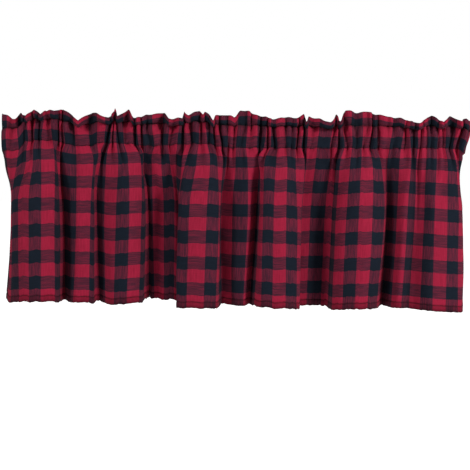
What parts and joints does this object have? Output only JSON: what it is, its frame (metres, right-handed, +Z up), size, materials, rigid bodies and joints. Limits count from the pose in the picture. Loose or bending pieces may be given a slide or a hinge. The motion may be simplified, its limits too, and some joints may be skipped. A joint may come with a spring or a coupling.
{
  "type": "window valance",
  "caption": "Gathered rod-pocket window valance in a two-colour check, with a ruffled header over an open pocket and a single-layer skirt hanging in soft uneven folds.",
  "frame": {"origin": "middle of the rod pocket, half way between its two open ends", "axes": "+X along the rod, +Z up, the side that faces the room towards -Y"},
  "size_m": [0.9082, 0.0846, 0.3869],
  "materials": {
    "checked_cloth": "plain-woven cotton in a red and black buffalo check, matt, with two rows of stitching and a narrow sewn hem"
  },
  "bodies": {
    "root": {"heading": "checked_cloth", "skirt": "checked_cloth"}
  },
  "joints": []
}
